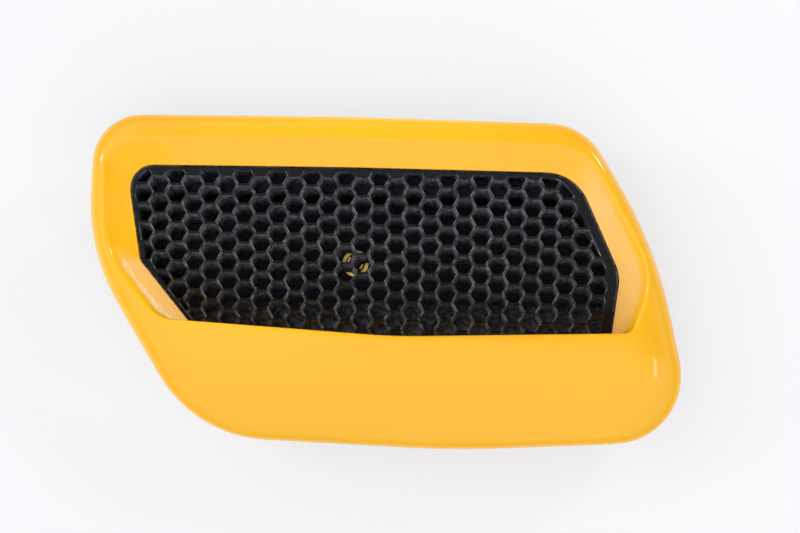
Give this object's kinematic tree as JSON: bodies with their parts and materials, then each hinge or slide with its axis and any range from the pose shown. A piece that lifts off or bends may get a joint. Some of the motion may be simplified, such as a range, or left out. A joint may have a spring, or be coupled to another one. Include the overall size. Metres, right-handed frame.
{
  "type": "bonnet grille",
  "caption": "Painted bonnet vent bezel around a recessed black honeycomb insert, with a rain tray, screws, a foam seal and spring clips behind.",
  "frame": {"origin": "bottom centre of the bounding box, on the plane of the rain tray's floor, where the grille lies on its back", "axes": "+X along the grille's length, +Y up its face, towards the long top edge of the recess, +Z out of the bonnet"},
  "size_m": [0.3313, 0.1842, 0.0558],
  "materials": {
    "body_paint": "gloss",
    "black_mesh": "satin",
    "black_tray": "matte",
    "foam": "matte",
    "black_screw": "satin",
    "spring_steel": "satin",
    "yellow_zinc": "satin"
  },
  "bodies": {
    "root": {"bezel": "body_paint", "honeycomb_insert": "black_mesh", "rain_tray": "black_tray", "foam_seal": "foam", "centre_spring_nut": "yellow_zinc", "insert_screw_1": "black_screw", "insert_screw_2": "black_screw", "insert_screw_3": "black_screw", "insert_screw_4": "black_screw", "insert_screw_5": "black_screw", "insert_screw_6": "black_screw", "spring_clip_1": "spring_steel", "spring_clip_2": "spring_steel", "spring_clip_3": "spring_steel", "spring_clip_4": "spring_steel"}
  },
  "joints": []
}
